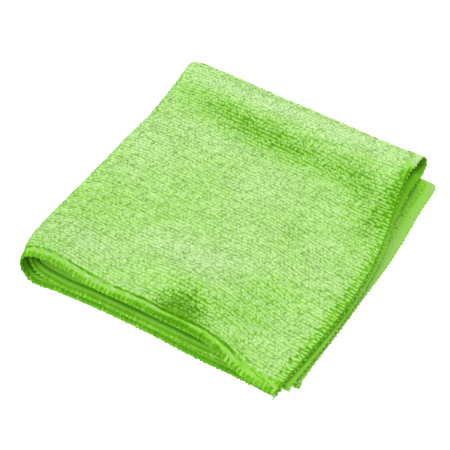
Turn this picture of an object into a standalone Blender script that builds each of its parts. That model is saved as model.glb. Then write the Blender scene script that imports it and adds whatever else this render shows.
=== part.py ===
"""A microfibre cleaning cloth, folded in four and laid flat.

The cloth is one square sheet.  It is folded in half along its back edge and
then in half again along its left edge, so four layers lie on each other.
From the top down they are:

    first layer    outer half of the sheet, front hem near the front
    second layer   inner half, its hem a little behind the first one
    third layer    inner half again, past the fold on the left
    fourth layer   outer half, flat on the surface

The flat sheet is laid out as a grid.  Each point keeps its distances from the
two fold lines, and one map, fold_point, carries it to its folded place.
Sizes are in millimetres; the finished mesh is in metres.
X runs along the front hem, Y to the back and Z up.
"""

import math

import bmesh
import bpy
import numpy as np

METRES = 0.001

# The sheet as cut and sewn.
CUT_SIDE = 356.0
PILE_THICKNESS = 2.2
HEM_THICKNESS = 1.7
HEM_WIDTH = 5.5

# How the layers lie.
LAYER_GAP = 0.5
CLOSED_SPREAD = (PILE_THICKNESS + LAYER_GAP) / 2
LOOP_FADE = 18.0
BEND_FADE = 26.0
RESTING_LIFT = 1.9

# Steps of the grid from a fold line to a hem: count and length of each run.
ACROSS_STEPS = ((7, 1.8), (3, 4.5))
ALONG_STEPS = ((5, 1.5), (2, 5.0))
PLAIN_STEPS = 13

SHEET_COLOUR = (0.36, 0.68, 0.15, 1.0)
SHEET_ROUGHNESS = 0.95

HALF = CUT_SIDE / 2
QUARTER_TURN = math.pi / 2
TINY_STEP = 0.05


def table(columns, *rows):
    """Rows of numbers under named columns, as one array for each name."""
    return {name: np.array(values, dtype=float) for name, values in zip(columns.split(), zip(*rows))}


# Front hems and back fold, read along the sheet: across is -1 at the right
# edge of the lower pair of layers, 0 on the left fold and 1 at the right edge
# of the upper pair.  loop is the radius of the back fold.
OUTLINE = table(
    "across outer_hem inner_hem back loop",
    (-1.00, 0.4, 10.0, 173.0, 2.1),
    (-0.85, 0.6, 6.0, 173.6, 2.1),
    (-0.70, 0.2, 4.0, 174.5, 2.1),
    (-0.50, 0.8, 3.3, 176.0, 2.0),
    (-0.30, 0.0, 2.5, 178.0, 2.0),
    (-0.15, -1.8, 1.2, 180.6, 2.2),
    (-0.07, -3.2, 2.5, 181.6, 2.2),
    (0.00, -0.8, 7.0, 181.4, 2.2),
    (0.07, 3.0, 9.5, 182.6, 2.2),
    (0.15, 5.6, 9.2, 183.2, 2.3),
    (0.22, 5.8, 8.4, 184.0, 2.4),
    (0.30, 5.4, 7.9, 183.8, 2.5),
    (0.50, 7.0, 7.8, 183.4, 2.6),
    (0.67, 7.1, 7.8, 182.6, 2.8),
    (0.75, 5.0, 6.2, 182.2, 2.9),
    (0.85, -0.4, 4.0, 181.8, 3.0),
    (1.00, -2.2, 4.5, 182.6, 3.0),
)

# Left fold and right edges, read from the front to the back.  fold is the
# crest between the inner and the outer half, bend its radius.
SIDES = table(
    "depth fold bend first second third fourth",
    (-3.0, 1.3, 7.6, 170.5, 174.3, 177.5, 168.5),
    (5.0, -0.7, 7.6, 171.0, 174.5, 177.5, 169.0),
    (12.0, -2.9, 7.3, 171.8, 175.0, 177.2, 169.5),
    (25.0, -4.3, 6.4, 173.6, 176.5, 177.5, 170.5),
    (45.0, -3.6, 5.4, 176.3, 178.5, 179.0, 171.5),
    (80.0, -0.3, 5.2, 178.2, 180.0, 181.0, 172.5),
    (110.0, 2.1, 5.2, 176.0, 177.8, 182.6, 173.0),
    (130.0, 4.1, 4.9, 172.3, 173.6, 182.3, 174.5),
    (150.0, 4.3, 4.7, 168.2, 172.0, 181.6, 177.0),
    (165.0, 4.4, 4.7, 166.4, 171.8, 182.2, 179.5),
    (183.0, 4.4, 4.8, 168.5, 170.0, 181.6, 181.6),
)

# Soft rises and hollows of the upper pair of layers: place, reach along and
# across each, its turn in degrees from the front hem, and its height.
UPPER_SWELLS = table(
    "x y length width turn height",
    (85.0, 161.0, 190.0, 12.0, 0.0, 4.0),
    (85.0, 185.0, 190.0, 11.0, 0.0, -3.4),
    (60.0, 163.0, 18.0, 8.0, -12.0, 1.2),
    (88.0, 137.0, 24.0, 8.0, -8.0, -1.3),
    (164.0, 148.0, 24.0, 17.0, -50.0, 2.4),
    (172.0, 176.0, 12.0, 20.0, 0.0, -3.6),
    (110.0, 88.0, 36.0, 12.0, 90.0, 1.6),
    (131.0, 94.0, 12.0, 9.0, 90.0, -2.0),
    (90.0, 37.0, 25.0, 11.0, 4.0, 4.6),
    (84.0, 66.0, 26.0, 10.0, 0.0, -1.0),
    (98.0, 16.0, 17.0, 8.0, 12.0, -4.4),
    (94.0, 3.0, 34.0, 9.0, 0.0, 3.2),
    (166.0, -2.0, 38.0, 34.0, 0.0, -2.8),
    (184.0, 70.0, 60.0, 15.0, 90.0, -1.5),
    (28.0, 44.0, 28.0, 13.0, 0.0, -1.8),
    (22.0, 96.0, 26.0, 17.0, 0.0, 1.9),
    (56.0, 124.0, 32.0, 11.0, -8.0, 1.3),
    (140.0, 40.0, 22.0, 10.0, 12.0, -2.2),
    (144.0, 68.0, 24.0, 11.0, 12.0, 1.8),
)

# Where the two layers of the upper pair stand apart: the back right corner.
UPPER_SPREADS = table(
    "x y length width turn height",
    (176.0, 168.0, 20.0, 16.0, 90.0, 1.0),
)


def read_smooth(rows, key, column, at):
    """Value of a column at given places, on a smooth curve through its rows."""
    places = rows[key]
    values = rows[column]
    slopes = np.gradient(values, places)
    inside = np.clip(at, places[0], places[-1])
    start = np.clip(np.searchsorted(places, inside, side="right") - 1, 0, len(places) - 2)
    span = places[start + 1] - places[start]
    part = (inside - places[start]) / span
    rise = 3 * part**2 - 2 * part**3
    leave = span * slopes[start] * part * (1 - part) ** 2
    arrive = span * slopes[start + 1] * part**2 * (1 - part)
    return values[start] * (1 - rise) + values[start + 1] * rise + leave - arrive


def swell_height(rows, x, y):
    """Sum of the soft mounds in a table at each place."""
    total = np.zeros_like(x)
    for mound_x, mound_y, length, width, turn, height in zip(*rows.values()):
        cosine = math.cos(math.radians(turn))
        sine = math.sin(math.radians(turn))
        along = (x - mound_x) * cosine + (y - mound_y) * sine
        aside = (y - mound_y) * cosine - (x - mound_x) * sine
        total += height * np.exp(-((along / length) ** 2) - (aside / width) ** 2)
    return total


def back_spread(across, y):
    """Half the distance between the layers of a pair, wider at the back fold."""
    loop = read_smooth(OUTLINE, "across", "loop", across)
    crest = read_smooth(OUTLINE, "across", "back", across) - PILE_THICKNESS / 2
    from_loop = np.maximum(crest - loop - y, 0.0)
    return CLOSED_SPREAD + (loop - CLOSED_SPREAD) * np.exp(-((from_loop / LOOP_FADE) ** 2))


def fold_back(across, v):
    """Depth of a point from the front, and its turn about the back fold."""
    loop = read_smooth(OUTLINE, "across", "loop", across)
    crest = read_smooth(OUTLINE, "across", "back", across) - PILE_THICKNESS / 2
    outer_hem = read_smooth(OUTLINE, "across", "outer_hem", across)
    inner_hem = read_smooth(OUTLINE, "across", "inner_hem", across)
    hem = np.where(v >= 0, outer_hem, inner_hem)
    path = crest - hem + (QUARTER_TURN - 1) * loop
    run = np.abs(v) / HALF * path
    turn = np.minimum(run / loop, QUARTER_TURN)
    y = crest - loop * (1 - np.cos(turn)) - np.maximum(run - QUARTER_TURN * loop, 0.0)
    return y, np.sign(v) * np.sin(turn)


def row_reach(across, side, y):
    """Length along a row from the left fold to the right edge of its layer."""
    upper_edge = (
        read_smooth(SIDES, "depth", "first", y) * (1 + side) / 2
        + read_smooth(SIDES, "depth", "second", y) * (1 - side) / 2
    )
    lower_edge = (
        read_smooth(SIDES, "depth", "fourth", y) * (1 + side) / 2
        + read_smooth(SIDES, "depth", "third", y) * (1 - side) / 2
    )
    edge = np.where(across >= 0, upper_edge, lower_edge)
    fold = read_smooth(SIDES, "depth", "fold", y)
    bend = read_smooth(SIDES, "depth", "bend", y)
    return edge - fold + (QUARTER_TURN - 1) * bend


def pair_path(run, across, y):
    """Middle of a pair of layers in its X-Z plane, a run's length from the fold."""
    fold = read_smooth(SIDES, "depth", "fold", y)
    bend = read_smooth(SIDES, "depth", "bend", y)
    turn = np.clip(run / bend, -QUARTER_TURN, QUARTER_TURN)
    beyond = np.maximum(np.abs(run) - QUARTER_TURN * bend, 0.0)
    x = fold + bend * (1 - np.cos(turn)) + beyond
    below = back_spread(-np.abs(across), y)
    own = upper_spread(across, x, y)
    lower_middle = below + PILE_THICKNESS / 2
    lift = np.maximum(RESTING_LIFT + swell_height(UPPER_SWELLS, x, y), 0.0)
    upper_middle = lower_middle + below + own + PILE_THICKNESS + LAYER_GAP + lift
    bend_top = lower_middle + 2 * bend
    fade = np.exp(-((beyond / BEND_FADE) ** 2))
    in_bend = lower_middle + bend * (1 + np.sin(turn))
    past_bend = upper_middle + (bend_top - upper_middle) * fade
    return x, np.where(run > QUARTER_TURN * bend, past_bend, in_bend)


def upper_spread(across, x, y):
    """Half distance between the layers of a pair, with the upper pair's openings."""
    opened = np.where(across > 0, swell_height(UPPER_SPREADS, x, y), 0.0)
    return back_spread(across, y) + opened


def fold_point(u, v):
    """Folded place of points of the flat sheet.

    u runs from -HALF to HALF across the left fold, and v from -HALF to HALF
    across the back fold; the outer half of the sheet has v above zero.
    """
    across = u / HALF
    y, side = fold_back(across, v)
    run = across * row_reach(across, side, y)
    x, z = pair_path(run, across, y)
    ahead_x, ahead_z = pair_path(run + TINY_STEP, across, y)
    behind_x, behind_z = pair_path(run - TINY_STEP, across, y)
    way_x = ahead_x - behind_x
    way_z = ahead_z - behind_z
    length = np.hypot(way_x, way_z)
    offset = side * upper_spread(across, x, y)
    return np.stack([x - offset * way_z / length, y, z + offset * way_x / length], axis=-1)


def grid_lines(runs):
    """Places of the grid's lines from one hem to the other, close at the fold."""
    places = [0.0]
    for count, step in runs:
        for _ in range(count):
            places.append(places[-1] + step)
    plain = np.linspace(places[-1], HALF - HEM_WIDTH, PLAIN_STEPS + 1)[1:]
    half = np.concatenate([places, plain, [HALF]])
    return np.concatenate([-half[:0:-1], half])


def sheet_material():
    """Plain lime green for the pile and the hem."""
    material = bpy.data.materials.new("lime_microfibre")
    material.use_nodes = True
    shader = material.node_tree.nodes["Principled BSDF"]
    shader.inputs["Base Color"].default_value = SHEET_COLOUR
    shader.inputs["Roughness"].default_value = SHEET_ROUGHNESS
    shader.inputs["Metallic"].default_value = 0.0
    return material


def lay_flat_grid(across_lines, along_lines):
    """Grid mesh over the flat sheet, its points in rows as the folds need them."""
    shape = bmesh.new()
    bmesh.ops.create_grid(
        shape,
        x_segments=len(across_lines) - 1,
        y_segments=len(along_lines) - 1,
        size=1.0,
    )
    across_last = len(across_lines) - 1
    along_last = len(along_lines) - 1
    for vert in shape.verts:
        column = round((vert.co.x + 1) / 2 * across_last)
        row = round((vert.co.y + 1) / 2 * along_last)
        vert.co = (across_lines[column], along_lines[row], 0.0)
    return shape


def build_cloth():
    """The folded cloth as one closed body, its underside flat at Z = 0."""
    shape = lay_flat_grid(grid_lines(ACROSS_STEPS), grid_lines(ALONG_STEPS))
    flat = np.array([vert.co[:2] for vert in shape.verts])
    folded = fold_point(flat[:, 0], flat[:, 1])
    centre_x = (folded[:, 0].min() + folded[:, 0].max()) / 2
    centre_y = (folded[:, 1].min() + folded[:, 1].max()) / 2
    folded -= np.array([centre_x, centre_y, 0.0])
    for vert, place in zip(shape.verts, folded * METRES):
        vert.co = place
    bmesh.ops.reverse_faces(shape, faces=shape.faces[:])

    mesh = bpy.data.meshes.new("cloth")
    shape.to_mesh(mesh)
    shape.free()
    mesh.materials.append(sheet_material())
    mesh.shade_smooth()
    cloth = bpy.data.objects.new("cloth", mesh)
    bpy.context.collection.objects.link(cloth)

    from_edge = HALF - np.abs(flat).max(axis=1)
    pile = cloth.vertex_groups.new(name="pile")
    pile.add(np.flatnonzero(from_edge > 0.0).tolist(), 1.0, "REPLACE")
    thicken = cloth.modifiers.new("thickness", "SOLIDIFY")
    thicken.thickness = PILE_THICKNESS * METRES
    thicken.offset = 0.0
    thicken.vertex_group = "pile"
    thicken.thickness_vertex_group = HEM_THICKNESS / PILE_THICKNESS
    return cloth


def main():
    """Clears the scene and builds the cloth."""
    for item in list(bpy.data.objects):
        bpy.data.objects.remove(item, do_unlink=True)
    build_cloth()


main()
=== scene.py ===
"""Looks of a lime green microfibre cleaning cloth, folded in four and laid flat.

The flat sheet is one square with an overlocked hem.  A fold map carries every
point of it to its folded place: first over the back fold, then over the left
fold.  The ground knit, the looped pile, the sewing and the loose fibres are all
laid out on the flat sheet and carried over by that one map, so that they lie on
the same folds.  Sizes are in millimetres until a mesh is made, in metres.
"""

import logging
import math
from dataclasses import dataclass, field
from enum import Enum

import bpy
import numpy as np
from mathutils import Matrix, Vector


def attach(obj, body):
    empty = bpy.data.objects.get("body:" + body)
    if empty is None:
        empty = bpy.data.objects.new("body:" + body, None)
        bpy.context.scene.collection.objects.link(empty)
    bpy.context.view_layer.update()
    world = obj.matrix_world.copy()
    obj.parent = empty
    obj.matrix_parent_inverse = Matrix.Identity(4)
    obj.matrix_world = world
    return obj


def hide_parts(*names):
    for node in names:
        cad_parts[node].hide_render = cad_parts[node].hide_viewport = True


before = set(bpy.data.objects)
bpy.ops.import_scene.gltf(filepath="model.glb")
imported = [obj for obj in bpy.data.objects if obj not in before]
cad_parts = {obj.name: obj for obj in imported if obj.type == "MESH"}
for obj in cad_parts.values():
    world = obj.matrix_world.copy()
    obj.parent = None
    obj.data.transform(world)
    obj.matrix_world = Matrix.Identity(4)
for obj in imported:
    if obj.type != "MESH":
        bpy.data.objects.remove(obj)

LOG = logging.getLogger("microfibre_cloth")

METRES = 0.001
QUARTER_TURN = math.pi / 2

Columns = dict[str, np.ndarray]


def table(columns: str, *rows: tuple[float, ...]) -> Columns:
    """Reads rows of numbers under named columns.

    Args:
        columns: The names of the columns, with spaces between them.
        rows: One tuple of numbers for each row.

    Returns:
        One array for each name.
    """
    return {name: np.array(values, dtype=float) for name, values in zip(columns.split(), zip(*rows))}


def table_field(columns: str, *rows: tuple[float, ...]) -> Columns:
    """A dataclass field that holds such a table."""
    return field(default_factory=lambda: table(columns, *rows))


def read_smooth(rows: Columns, key: str, column: str, at: np.ndarray) -> np.ndarray:
    """Reads a column on a smooth curve through its rows.

    Args:
        rows: The table.
        key: The column that places are read along.
        column: The column whose values are wanted.
        at: The places.

    Returns:
        The value at each place; past the table's ends it stays level.
    """
    places = rows[key]
    values = rows[column]
    slopes = np.gradient(values, places)
    inside = np.clip(at, places[0], places[-1])
    start = np.clip(np.searchsorted(places, inside, side="right") - 1, 0, len(places) - 2)
    span = places[start + 1] - places[start]
    part = (inside - places[start]) / span
    rise = 3 * part**2 - 2 * part**3
    leave = span * slopes[start] * part * (1 - part) ** 2
    arrive = span * slopes[start + 1] * part**2 * (1 - part)
    return values[start] * (1 - rise) + values[start + 1] * rise + leave - arrive


def read_columns(rows: Columns, key: str, columns: str, at: np.ndarray) -> list[np.ndarray]:
    """Reads several columns in the same way, their names with spaces between them."""
    return [read_smooth(rows, key, column, at) for column in columns.split()]


def mound_sum(rows: Columns, x: np.ndarray, y: np.ndarray) -> np.ndarray:
    """Adds up soft mounds.

    Args:
        rows: A table with the columns x, y, length, width, turn and height.
        x: Places from left to right.
        y: Places from front to back.

    Returns:
        The sum of all the mounds at each place.
    """
    total = np.zeros_like(x)
    for mound_x, mound_y, length, width, turn, height in zip(*rows.values()):
        cosine = math.cos(math.radians(turn))
        sine = math.sin(math.radians(turn))
        along = (x - mound_x) * cosine + (y - mound_y) * sine
        aside = (y - mound_y) * cosine - (x - mound_x) * sine
        total += height * np.exp(-((along / length) ** 2) - (aside / width) ** 2)
    return total


WAVES = table(
    "height quickness row_turn row_sway start",
    (0.5, 1, 1.7, 0, 0),
    (0.3, 2.37, 0, 0.9, 2.1),
    (0.2, 5.1, 2.6, 0, 0),
)
SWAY_PACE = 0.8


def smooth_waves(at: np.ndarray, row: np.ndarray, length: float) -> np.ndarray:
    """Gives each row its own slow wave, between about -1 and 1.

    Args:
        at: Places along the row.
        row: The row's number.
        length: The length of the longest wave.

    Returns:
        The wave's height at each place.
    """
    turn = 2 * math.pi * at / length
    sway = np.sin(SWAY_PACE * row)
    total = np.zeros_like(turn)
    for height, quickness, row_turn, row_sway, start in zip(*WAVES.values()):
        total += height * np.sin(quickness * turn + row_turn * row + row_sway * sway + start)
    return total


class Face(Enum):
    """The two faces of the sheet: the outside of the folded cloth and the other."""

    OUTER = 1
    INNER = -1


@dataclass(frozen=True)
class FoldMap:
    """Carries the flat sheet to its folded place, as its solid is folded.

    u runs from -half to half across the left fold and v from -half to half
    across the back fold; the outer half of the sheet has v above zero.
    """

    half: float = 178.0
    pile: float = 2.2
    gap: float = 0.5
    loop_fade: float = 18.0
    bend_fade: float = 26.0
    resting_lift: float = 1.9
    tiny_step: float = 0.05
    slope_step: float = 0.4
    corner_pull: float = 2.6
    corner_reach: float = 3.2
    corner_slope: float = 9.0
    centre: tuple[float, float] = (88.4367, 89.8114)
    outline: Columns = table_field(
        "across outer_hem inner_hem back loop",
        (-1, 0.4, 10, 173, 2.1),
        (-0.85, 0.6, 6, 173.6, 2.1),
        (-0.70, 0.2, 4, 174.5, 2.1),
        (-0.50, 0.8, 3.3, 176, 2),
        (-0.30, 0, 2.5, 178, 2),
        (-0.15, -1.8, 1.2, 180.6, 2.2),
        (-0.07, -3.2, 2.5, 181.6, 2.2),
        (0, -0.8, 7, 181.4, 2.2),
        (0.07, 3, 9.5, 182.6, 2.2),
        (0.15, 5.6, 9.2, 183.2, 2.3),
        (0.22, 5.8, 8.4, 184, 2.4),
        (0.30, 5.4, 7.9, 183.8, 2.5),
        (0.50, 7, 7.8, 183.4, 2.6),
        (0.67, 7.1, 7.8, 182.6, 2.8),
        (0.75, 5, 6.2, 182.2, 2.9),
        (0.85, -0.4, 4, 181.8, 3),
        (1, -2.2, 4.5, 182.6, 3),
    )
    sides: Columns = table_field(
        "depth fold bend first second third fourth",
        (-3, 1.3, 7.6, 170.5, 174.3, 177.5, 168.5),
        (5, -0.7, 7.6, 171, 174.5, 177.5, 169),
        (12, -2.9, 7.3, 171.8, 175, 177.2, 169.5),
        (25, -4.3, 6.4, 173.6, 176.5, 177.5, 170.5),
        (45, -3.6, 5.4, 176.3, 178.5, 179, 171.5),
        (80, -0.3, 5.2, 178.2, 180, 181, 172.5),
        (110, 2.1, 5.2, 176, 177.8, 182.6, 173),
        (130, 4.1, 4.9, 172.3, 173.6, 182.3, 174.5),
        (150, 4.3, 4.7, 168.2, 172, 181.6, 177),
        (165, 4.4, 4.7, 166.4, 171.8, 182.2, 179.5),
        (183, 4.4, 4.8, 168.5, 170, 181.6, 181.6),
    )
    swells: Columns = table_field(
        "x y length width turn height",
        (85, 161, 190, 12, 0, 4),
        (85, 185, 190, 11, 0, -3.4),
        (60, 163, 18, 8, -12, 1.2),
        (88, 137, 24, 8, -8, -1.3),
        (164, 148, 24, 17, -50, 2.4),
        (172, 176, 12, 20, 0, -3.6),
        (110, 88, 36, 12, 90, 1.6),
        (131, 94, 12, 9, 90, -2),
        (90, 37, 25, 11, 4, 4.6),
        (84, 66, 26, 10, 0, -1),
        (98, 16, 17, 8, 12, -4.4),
        (94, 3, 34, 9, 0, 3.2),
        (166, -2, 38, 34, 0, -2.8),
        (184, 70, 60, 15, 90, -1.5),
        (28, 44, 28, 13, 0, -1.8),
        (22, 96, 26, 17, 0, 1.9),
        (56, 124, 32, 11, -8, 1.3),
        (140, 40, 22, 10, 12, -2.2),
        (144, 68, 24, 11, 12, 1.8),
    )
    spreads: Columns = table_field(
        "x y length width turn height",
        (176, 168, 20, 16, 90, 1),
    )

    def back_spread(self, across: np.ndarray, y: np.ndarray) -> np.ndarray:
        """Half the distance between a pair of layers, wider at the back fold.

        Args:
            across: Places across the left fold, from -1 to 1.
            y: Depth from the front.

        Returns:
            The half distance at each place.
        """
        closed = (self.pile + self.gap) / 2
        loop, back = read_columns(self.outline, "across", "loop back", across)
        from_loop = np.maximum(back - self.pile / 2 - loop - y, 0.0)
        return closed + (loop - closed) * np.exp(-((from_loop / self.loop_fade) ** 2))

    def upper_spread(self, across: np.ndarray, x: np.ndarray, y: np.ndarray) -> np.ndarray:
        """The same half distance, with the upper pair's opening at its corner."""
        opened = np.where(across > 0, mound_sum(self.spreads, x, y), 0.0)
        return self.back_spread(across, y) + opened

    def fold_back(self, across: np.ndarray, v: np.ndarray) -> tuple[np.ndarray, np.ndarray]:
        """Folds the sheet over its back fold.

        Args:
            across: Places across the left fold, from -1 to 1.
            v: Places across the back fold.

        Returns:
            Depth from the front, and the sine of the turn about the fold.
        """
        columns = "loop back outer_hem inner_hem"
        loop, back, outer_hem, inner_hem = read_columns(self.outline, "across", columns, across)
        crest = back - self.pile / 2
        hem = np.where(v >= 0, outer_hem, inner_hem)
        path = crest - hem + (QUARTER_TURN - 1) * loop
        run = np.abs(v) / self.half * path
        turn = np.minimum(run / loop, QUARTER_TURN)
        y = crest - loop * (1 - np.cos(turn)) - np.maximum(run - QUARTER_TURN * loop, 0.0)
        return y, np.sign(v) * np.sin(turn)

    def row_reach(self, across: np.ndarray, side: np.ndarray, y: np.ndarray) -> np.ndarray:
        """Length along a row from the left fold to the right edge of its layer.

        Args:
            across: Places across the left fold, from -1 to 1.
            side: The sine of the turn about the back fold.
            y: Depth from the front.

        Returns:
            The length at each place.
        """
        columns = "fold bend first second third fourth"
        fold, bend, first, second, third, fourth = read_columns(self.sides, "depth", columns, y)
        outer = (1 + side) / 2
        upper = first * outer + second * (1 - outer)
        lower = fourth * outer + third * (1 - outer)
        return np.where(across >= 0, upper, lower) - fold + (QUARTER_TURN - 1) * bend

    def pair_path(self, run: np.ndarray, across: np.ndarray, y: np.ndarray) -> tuple[np.ndarray, np.ndarray]:
        """Follows the middle of a pair of layers round the left fold.

        Args:
            run: Length along the path from the fold, below zero in the lower pair.
            across: Places across the left fold, from -1 to 1.
            y: Depth from the front.

        Returns:
            The path's x and z.
        """
        fold, bend = read_columns(self.sides, "depth", "fold bend", y)
        turn = np.clip(run / bend, -QUARTER_TURN, QUARTER_TURN)
        beyond = np.maximum(np.abs(run) - QUARTER_TURN * bend, 0.0)
        x = fold + bend * (1 - np.cos(turn)) + beyond
        below = self.back_spread(-np.abs(across), y)
        own = self.upper_spread(across, x, y)
        lower_middle = below + self.pile / 2
        lift = np.maximum(self.resting_lift + mound_sum(self.swells, x, y), 0.0)
        upper_middle = lower_middle + below + own + self.pile + self.gap + lift
        bend_top = lower_middle + 2 * bend
        fade = np.exp(-((beyond / self.bend_fade) ** 2))
        in_bend = lower_middle + bend * (1 + np.sin(turn))
        past_bend = upper_middle + (bend_top - upper_middle) * fade
        return x, np.where(run > QUARTER_TURN * bend, past_bend, in_bend)

    def middle(self, u: np.ndarray, v: np.ndarray) -> np.ndarray:
        """Folded place of the middle of the sheet.

        Args:
            u: Places across the left fold.
            v: Places across the back fold.

        Returns:
            One point for each place, in millimetres.
        """
        across = u / self.half
        y, side = self.fold_back(across, v)
        near_corner = np.clip(1 - self.corner_slope * (1 + across), 0, 1)
        pulled = self.corner_pull * np.exp(-((v / self.corner_reach) ** 2)) * near_corner
        run = across * self.row_reach(across, side, y) + pulled
        x, z = self.pair_path(run, across, y)
        ahead_x, ahead_z = self.pair_path(run + self.tiny_step, across, y)
        behind_x, behind_z = self.pair_path(run - self.tiny_step, across, y)
        way_x = ahead_x - behind_x
        way_z = ahead_z - behind_z
        offset = side * self.upper_spread(across, x, y) / np.hypot(way_x, way_z)
        return np.stack([x - offset * way_z, y, z + offset * way_x], axis=-1)

    def place(self, u: np.ndarray, v: np.ndarray, height: np.ndarray) -> np.ndarray:
        """Folded place of points at a height over the middle of the sheet.

        Args:
            u: Places across the left fold.
            v: Places across the back fold.
            height: Height towards the outer face, below zero on the inner face.

        Returns:
            One point for each place, in metres, never under the ground.
        """
        step = self.slope_step
        along_u = self.middle(u + step, v) - self.middle(u - step, v)
        along_v = self.middle(u, v + step) - self.middle(u, v - step)
        normal = np.cross(along_v, along_u)
        normal /= np.linalg.norm(normal, axis=-1, keepdims=True)
        points = self.middle(u, v) + normal * height[..., None]
        points -= np.array([self.centre[0], self.centre[1], 0.0])
        points[..., 2] = np.maximum(points[..., 2], 0.0)
        return points * METRES


# --- Meshes -------------------------------------------------------------------


def begin_piece() -> None:
    """Deselects everything, so that an operator acts on the new piece alone."""
    bpy.ops.object.select_all(action="DESELECT")
    bpy.context.view_layer.objects.active = None


def add_object(name: str, data: bpy.types.ID) -> bpy.types.Object:
    """Adds an object to the scene, selected on its own.

    Args:
        name: The object's name.
        data: Its mesh, curve, lamp or camera.

    Returns:
        The object.
    """
    begin_piece()
    piece = bpy.data.objects.new(name, data)
    bpy.context.collection.objects.link(piece)
    piece.select_set(True)
    bpy.context.view_layer.objects.active = piece
    return piece


def new_cord(name: str, radius: float, roundness: int) -> bpy.types.Curve:
    """Makes an empty curve whose lines are round cords with closed ends.

    Args:
        name: The curve's name.
        radius: The cords' radius.
        roundness: How many more sides than four they have, in steps.

    Returns:
        The curve.
    """
    curve = bpy.data.curves.new(name, "CURVE")
    curve.dimensions = "3D"
    curve.bevel_depth = radius
    curve.bevel_resolution = roundness
    curve.use_fill_caps = True
    return curve


def mesh_from_cord(curve: bpy.types.Curve) -> bpy.types.Object:
    """Turns the cords of a curve into one mesh object.

    Args:
        curve: The curve.

    Returns:
        The object, with the curve's name.
    """
    add_object(curve.name, curve)
    bpy.ops.object.convert(target="MESH")
    return bpy.context.object


def mesh_from_arrays(name: str, points: np.ndarray, triangles: np.ndarray) -> bpy.types.Mesh:
    """Makes a smooth mesh of triangles.

    Args:
        name: The mesh's name.
        points: Its points, in metres.
        triangles: The points of each triangle.

    Returns:
        The mesh.
    """
    mesh = bpy.data.meshes.new(name)
    mesh.vertices.add(len(points))
    mesh.vertices.foreach_set("co", points.astype(np.float32).ravel())
    mesh.loops.add(3 * len(triangles))
    mesh.loops.foreach_set("vertex_index", triangles.astype(np.int32).ravel())
    mesh.polygons.add(len(triangles))
    mesh.polygons.foreach_set("loop_start", np.arange(0, 3 * len(triangles), 3, dtype=np.int32))
    mesh.update(calc_edges=True)
    mesh.shade_smooth()
    return mesh


def add_values(mesh: bpy.types.Mesh, name: str, values: np.ndarray) -> None:
    """Stores one number for each point of a mesh under a name."""
    attribute = mesh.attributes.new(name, "FLOAT", "POINT")
    attribute.data.foreach_set("value", values.astype(np.float32))


@dataclass(frozen=True)
class Template:
    """A small mesh that is modelled once and copied: its points and its faces."""

    points: np.ndarray
    faces: np.ndarray

    @classmethod
    def take(cls, piece: bpy.types.Object) -> "Template":
        """Reads a modelled object's triangles and removes the object.

        Args:
            piece: The modelled object, in millimetres.

        Returns:
            Its points and its triangles, in the same order each time.
        """
        mesh = piece.data
        mesh.calc_loop_triangles()
        points = np.array([piece.matrix_world @ vert.co for vert in mesh.vertices])
        corners = [list(triangle.vertices) for triangle in mesh.loop_triangles]
        faces = np.array(sorted(np.roll(face, -np.argmin(face)).tolist() for face in corners))
        bpy.data.objects.remove(piece, do_unlink=True)
        bpy.data.meshes.remove(mesh)
        return cls(points, faces)

    def axes(self) -> tuple[np.ndarray, ...]:
        """The points' x, y and z, each as one row that many copies share."""
        return tuple(self.points.T[:, None, :])


@dataclass
class JoinedCopies:
    """Gathers copies of templates into one mesh, with values for each point."""

    points: list[np.ndarray] = field(default_factory=list)
    faces: list[np.ndarray] = field(default_factory=list)
    shares: list[np.ndarray] = field(default_factory=list)
    tones: list[np.ndarray] = field(default_factory=list)
    count: int = 0

    def add(
        self,
        template: Template,
        points: np.ndarray,
        share: np.ndarray,
        tone: np.ndarray,
        flip: bool,
    ) -> None:
        """Adds one copy of a template for each row of points.

        Args:
            template: The template that is copied.
            points: Copies by template points by three, in metres.
            share: Place of each point's colour between the root, 0, and the tip, 1.
            tone: Lightness of each point, about 0.
            flip: True where the copies must be turned right side out.
        """
        copies, corners = points.shape[:2]
        starts = self.count + np.arange(copies)[:, None, None] * corners
        faces = template.faces[:, ::-1] if flip else template.faces
        self.points.append(points.reshape(-1, 3))
        self.faces.append((faces[None] + starts).reshape(-1, 3))
        self.shares.append(np.broadcast_to(share, (copies, corners)).ravel())
        self.tones.append(np.broadcast_to(tone, (copies, corners)).ravel())
        self.count += copies * corners

    def join(self, name: str) -> bpy.types.Object:
        """Makes one smooth object of all the copies.

        Args:
            name: The object's name.

        Returns:
            The object, with the attributes root_to_tip and tone.
        """
        mesh = mesh_from_arrays(name, np.concatenate(self.points), np.concatenate(self.faces))
        add_values(mesh, "root_to_tip", np.concatenate(self.shares))
        add_values(mesh, "tone", np.concatenate(self.tones))
        return add_object(name, mesh)


# --- Finishes -----------------------------------------------------------------


def add_math(
    tree: bpy.types.NodeTree,
    operation: str,
    first: bpy.types.NodeSocket | float,
    second: bpy.types.NodeSocket | float,
) -> bpy.types.NodeSocket:
    """Adds a math node.

    Args:
        tree: The node tree.
        operation: The node's operation.
        first: A socket or a number.
        second: A socket or a number.

    Returns:
        The result's socket.
    """
    node = tree.nodes.new("ShaderNodeMath")
    node.operation = operation
    for socket, value in zip(node.inputs, (first, second)):
        if isinstance(value, (int, float)):
            socket.default_value = value
        else:
            tree.links.new(value, socket)
    return node.outputs[0]


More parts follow.
